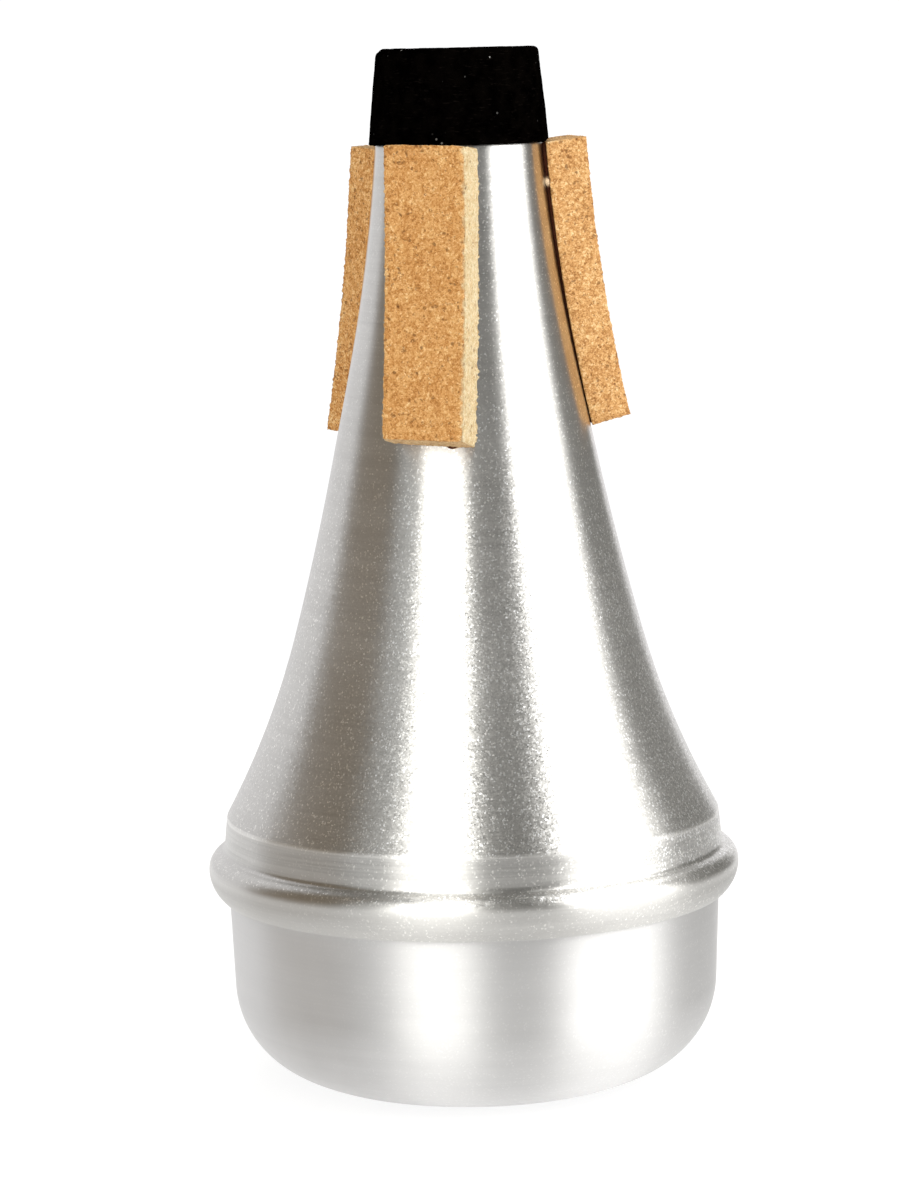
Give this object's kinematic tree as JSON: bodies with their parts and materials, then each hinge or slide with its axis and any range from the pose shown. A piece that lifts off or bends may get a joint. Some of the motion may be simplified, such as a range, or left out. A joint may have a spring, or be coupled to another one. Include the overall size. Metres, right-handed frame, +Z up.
{
  "type": "trumpet straight mute",
  "caption": "Hollow spun-aluminium straight mute for a trumpet: flared cone with a rolled bead, closed round base cup, cork seating pads and a soft sleeve on the open neck.",
  "frame": {"origin": "centre of the flat base of the cup", "axes": "+Z up the axis, from the closed base to the open neck; -Y towards the front cork pad"},
  "size_m": [0.0878, 0.0878, 0.17],
  "materials": {
    "spun_aluminium": "satin, fine circular spinning lines",
    "cup_aluminium": "satin, fine circular brushing",
    "cork": "agglomerated cork, raw",
    "black_foam": "very matt soft foam rubber",
    "glue": "dried contact adhesive",
    "sealant": "dried sealing compound"
  },
  "bodies": {
    "root": {"cone_shell": "spun_aluminium", "base_cup": "cup_aluminium", "seam_sealant": "sealant", "neck_sleeve": "black_foam", "sleeve_adhesive": "glue", "cork_pad_front": "cork", "cork_pad_right": "cork", "cork_pad_left": "cork", "cork_glue_front": "glue", "cork_glue_right": "glue", "cork_glue_left": "glue"}
  },
  "joints": []
}
